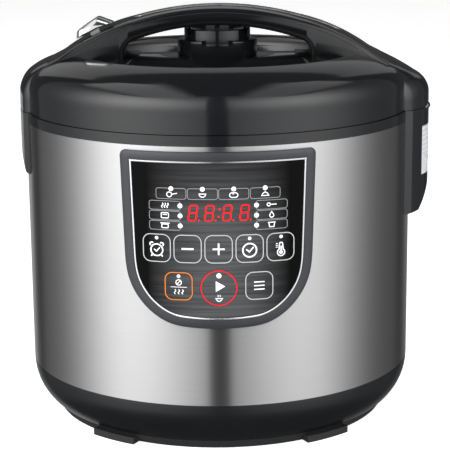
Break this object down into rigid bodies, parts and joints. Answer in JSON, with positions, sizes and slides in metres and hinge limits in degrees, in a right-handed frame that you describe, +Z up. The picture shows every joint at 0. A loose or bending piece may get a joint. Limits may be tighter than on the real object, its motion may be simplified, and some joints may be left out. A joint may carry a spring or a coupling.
{
  "type": "electric pressure cooker",
  "caption": "Electric pressure cooker with a round brushed steel body, hinged domed lid, arched carrying handle, steam valve and a curved control panel with a digital display.",
  "frame": {"origin": "centre of the foot ring's resting face, on the body's vertical axis", "axes": "+Z up along the body's axis, control panel faces -Y, lid hinge on the +X side"},
  "size_m": [0.309, 0.2945, 0.3048],
  "materials": {
    "brushed_steel": "horizontal brushed",
    "gloss_charcoal": "gloss",
    "base_black": "fine satin",
    "rubber_black": "matt",
    "chrome": "polished",
    "silver_trim": "satin",
    "panel_gloss": "high gloss, fine horizontal brushed streaks",
    "frame_grey": "satin",
    "cup_clear": "translucent",
    "silicone": "matt",
    "aluminium": "spun",
    "nonstick": "satin non-stick",
    "steel": "satin",
    "pcb": "solder mask",
    "white_plastic": "satin",
    "brass": "satin",
    "red_light": "clear"
  },
  "bodies": {
    "base": {"outer_sleeve": "brushed_steel", "upper_rim": "gloss_charcoal", "base_housing": "base_black", "foot_ring": "rubber_black", "left_bracket": "gloss_charcoal", "hinge_block": "gloss_charcoal", "right_bracket": "gloss_charcoal", "hinge_pin": "steel", "outer_pot": "aluminium", "inner_pot": "nonstick", "heat_shield": "aluminium", "heating_plate": "aluminium", "heating_element": "steel", "plate_supports": "steel", "sensor_guide": "aluminium", "sensor_spring": "steel", "pressure_switch": "white_plastic", "thermal_fuse": "white_plastic", "power_board": "pcb", "board_parts": "base_black", "board_screws": "steel", "control_board": "pcb", "tact_switches": "base_black", "display_module": "base_black", "display_window": "panel_gloss", "light_pipes": "red_light", "panel_carrier": "base_black", "panel_frame": "frame_grey", "panel_trim": "silver_trim", "panel_face": "panel_gloss", "power_inlet": "base_black", "inlet_pins": "brass"},
    "lid": {"lid_cover": "gloss_charcoal", "handle_upper": "gloss_charcoal", "handle_lower": "base_black", "handle_strip": "silver_trim", "handle_pads": "gloss_charcoal", "left_trim": "gloss_charcoal", "right_trim": "gloss_charcoal", "pressure_lid": "brushed_steel", "sealing_ring": "silicone", "valve_base": "gloss_charcoal", "valve_collar": "gloss_charcoal", "steam_pipe": "steel", "anti_block_cap": "steel", "lid_screws": "steel"},
    "lock": {"lock_ring": "steel", "lock_lever": "chrome"},
    "knob": {"steam_knob": "gloss_charcoal"},
    "float": {"float_valve": "steel"},
    "cup": {"condensate_cup": "cup_clear"},
    "plunger": {"sensor_plunger": "aluminium"},
    "timer": {"timer_key": "panel_gloss"},
    "minus": {"minus_key": "panel_gloss"},
    "plus": {"plus_key": "panel_gloss"},
    "clock": {"clock_key": "panel_gloss"},
    "warm": {"warm_key": "panel_gloss"},
    "cancel": {"cancel_key": "panel_gloss"},
    "start": {"start_key": "panel_gloss"},
    "menu": {"menu_key": "panel_gloss"}
  },
  "joints": [
    {"name": "lid_hinge", "type": "hinge", "parent": "base", "child": "lid", "pos_m": [0.1565, 0, 0.2292], "axis": [0, 1, 0], "range_deg": [0, 90]},
    {"name": "lock_turn", "type": "hinge", "parent": "lid", "child": "lock", "pos_m": [0, 0, 0.243], "axis": [0, 0, 1], "range_deg": [-12, 0]},
    {"name": "knob_turn", "type": "hinge", "parent": "lid", "child": "knob", "pos_m": [0, 0, 0.28], "axis": [0, 0, 1], "range_deg": [0, 45]},
    {"name": "float_lift", "type": "slide", "parent": "lid", "child": "float", "axis": [0, 0, 1], "range_m": [0, 0.0034]},
    {"name": "cup_slide", "type": "slide", "parent": "base", "child": "cup", "axis": [1, 0, 0], "range_m": [0, 0.03]},
    {"name": "sensor_press", "type": "slide", "parent": "base", "child": "plunger", "axis": [0, 0, 1], "range_m": [-0.001, 0], "stiffness_N_per_m": 1500, "springref_m": 0.002},
    {"name": "timer_press", "type": "slide", "parent": "base", "child": "timer", "axis": [0, 1, 0], "range_m": [0, 0.0005], "stiffness_N_per_m": 500},
    {"name": "minus_press", "type": "slide", "parent": "base", "child": "minus", "axis": [0, 1, 0], "range_m": [0, 0.0005], "stiffness_N_per_m": 500},
    {"name": "plus_press", "type": "slide", "parent": "base", "child": "plus", "axis": [0, 1, 0], "range_m": [0, 0.0005], "stiffness_N_per_m": 500},
    {"name": "clock_press", "type": "slide", "parent": "base", "child": "clock", "axis": [0, 1, 0], "range_m": [0, 0.0005], "stiffness_N_per_m": 500},
    {"name": "warm_press", "type": "slide", "parent": "base", "child": "warm", "axis": [0, 1, 0], "range_m": [0, 0.0005], "stiffness_N_per_m": 500},
    {"name": "cancel_press", "type": "slide", "parent": "base", "child": "cancel", "axis": [0, 1, 0], "range_m": [0, 0.0005], "stiffness_N_per_m": 500},
    {"name": "start_press", "type": "slide", "parent": "base", "child": "start", "axis": [0, 1, 0], "range_m": [0, 0.0005], "stiffness_N_per_m": 500},
    {"name": "menu_press", "type": "slide", "parent": "base", "child": "menu", "axis": [0, 1, 0], "range_m": [0, 0.0005], "stiffness_N_per_m": 500}
  ]
}
